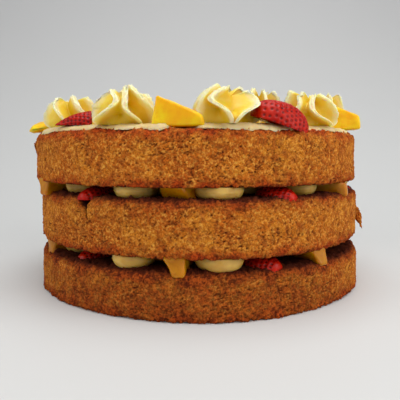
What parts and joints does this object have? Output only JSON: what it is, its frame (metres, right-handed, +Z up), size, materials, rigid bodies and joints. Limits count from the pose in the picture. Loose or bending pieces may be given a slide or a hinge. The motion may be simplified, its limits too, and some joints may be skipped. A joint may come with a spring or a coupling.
{
  "type": "peach and strawberry layer cake",
  "caption": "Round naked sponge cake in three layers, filled with dots of buttercream, peach and strawberry, with piped rosettes, peach pieces and halved strawberries round the top.",
  "frame": {"origin": "middle of the bottom sponge's flat underside", "axes": "+Z up out of the top of the cake; -Y towards the side that the picture shows; +X to the right of that view"},
  "size_m": [0.2104, 0.2066, 0.1197],
  "materials": {
    "sponge": "porous golden-brown crumb, matt",
    "cream": "pale yellow buttercream, soft sheen",
    "peach": "wet, slightly translucent fruit",
    "strawberry": "glossy, with sunken seeds"
  },
  "bodies": {
    "root": {"sponge_bottom": "sponge", "sponge_middle": "sponge", "sponge_top": "sponge", "cream_filling_lower": "cream", "cream_filling_upper": "cream", "cream_spread": "cream", "rosette_1": "cream", "rosette_2": "cream", "rosette_3": "cream", "rosette_4": "cream", "rosette_5": "cream", "rosette_6": "cream", "rosette_7": "cream", "rosette_8": "cream", "rosette_9": "cream", "rosette_10": "cream", "rosette_11": "cream", "rosette_12": "cream", "peach_top_1": "peach", "peach_top_2": "peach", "peach_top_3": "peach", "peach_top_4": "peach", "peach_top_5": "peach", "peach_lower_1": "peach", "peach_lower_2": "peach", "peach_lower_3": "peach", "peach_lower_4": "peach", "peach_lower_5": "peach", "peach_lower_6": "peach", "peach_upper_1": "peach", "peach_upper_2": "peach", "peach_upper_3": "peach", "peach_upper_4": "peach", "peach_upper_5": "peach", "peach_upper_6": "peach", "strawberry_top_1": "strawberry", "strawberry_top_2": "strawberry", "strawberry_top_3": "strawberry", "strawberry_top_4": "strawberry", "strawberry_top_5": "strawberry", "strawberry_lower_1": "strawberry", "strawberry_lower_2": "strawberry", "strawberry_lower_3": "strawberry", "strawberry_lower_4": "strawberry", "strawberry_lower_5": "strawberry", "strawberry_upper_1": "strawberry", "strawberry_upper_2": "strawberry", "strawberry_upper_3": "strawberry", "strawberry_upper_4": "strawberry", "strawberry_upper_5": "strawberry"}
  },
  "joints": []
}
